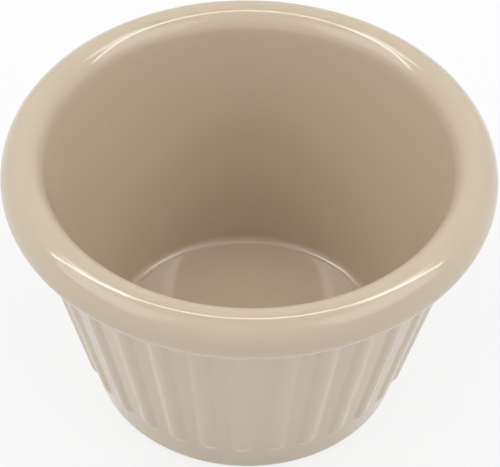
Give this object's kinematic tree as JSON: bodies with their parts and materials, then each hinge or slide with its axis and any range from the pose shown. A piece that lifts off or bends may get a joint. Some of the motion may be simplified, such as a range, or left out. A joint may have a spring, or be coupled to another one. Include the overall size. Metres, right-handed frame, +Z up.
{
  "type": "ramekin",
  "caption": "Small round fluted ramekin in beige moulded plastic, with a rolled rim, a plain band, narrow upright ribs and a recessed foot.",
  "frame": {"origin": "centre of the standing ring, on the table", "axes": "+Z up through the mouth, -Y towards the viewer, through the middle of one rib"},
  "size_m": [0.08, 0.08, 0.0493],
  "materials": {
    "body": "glossy, one beige throughout"
  },
  "bodies": {
    "root": {"ramekin": "body"}
  },
  "joints": []
}
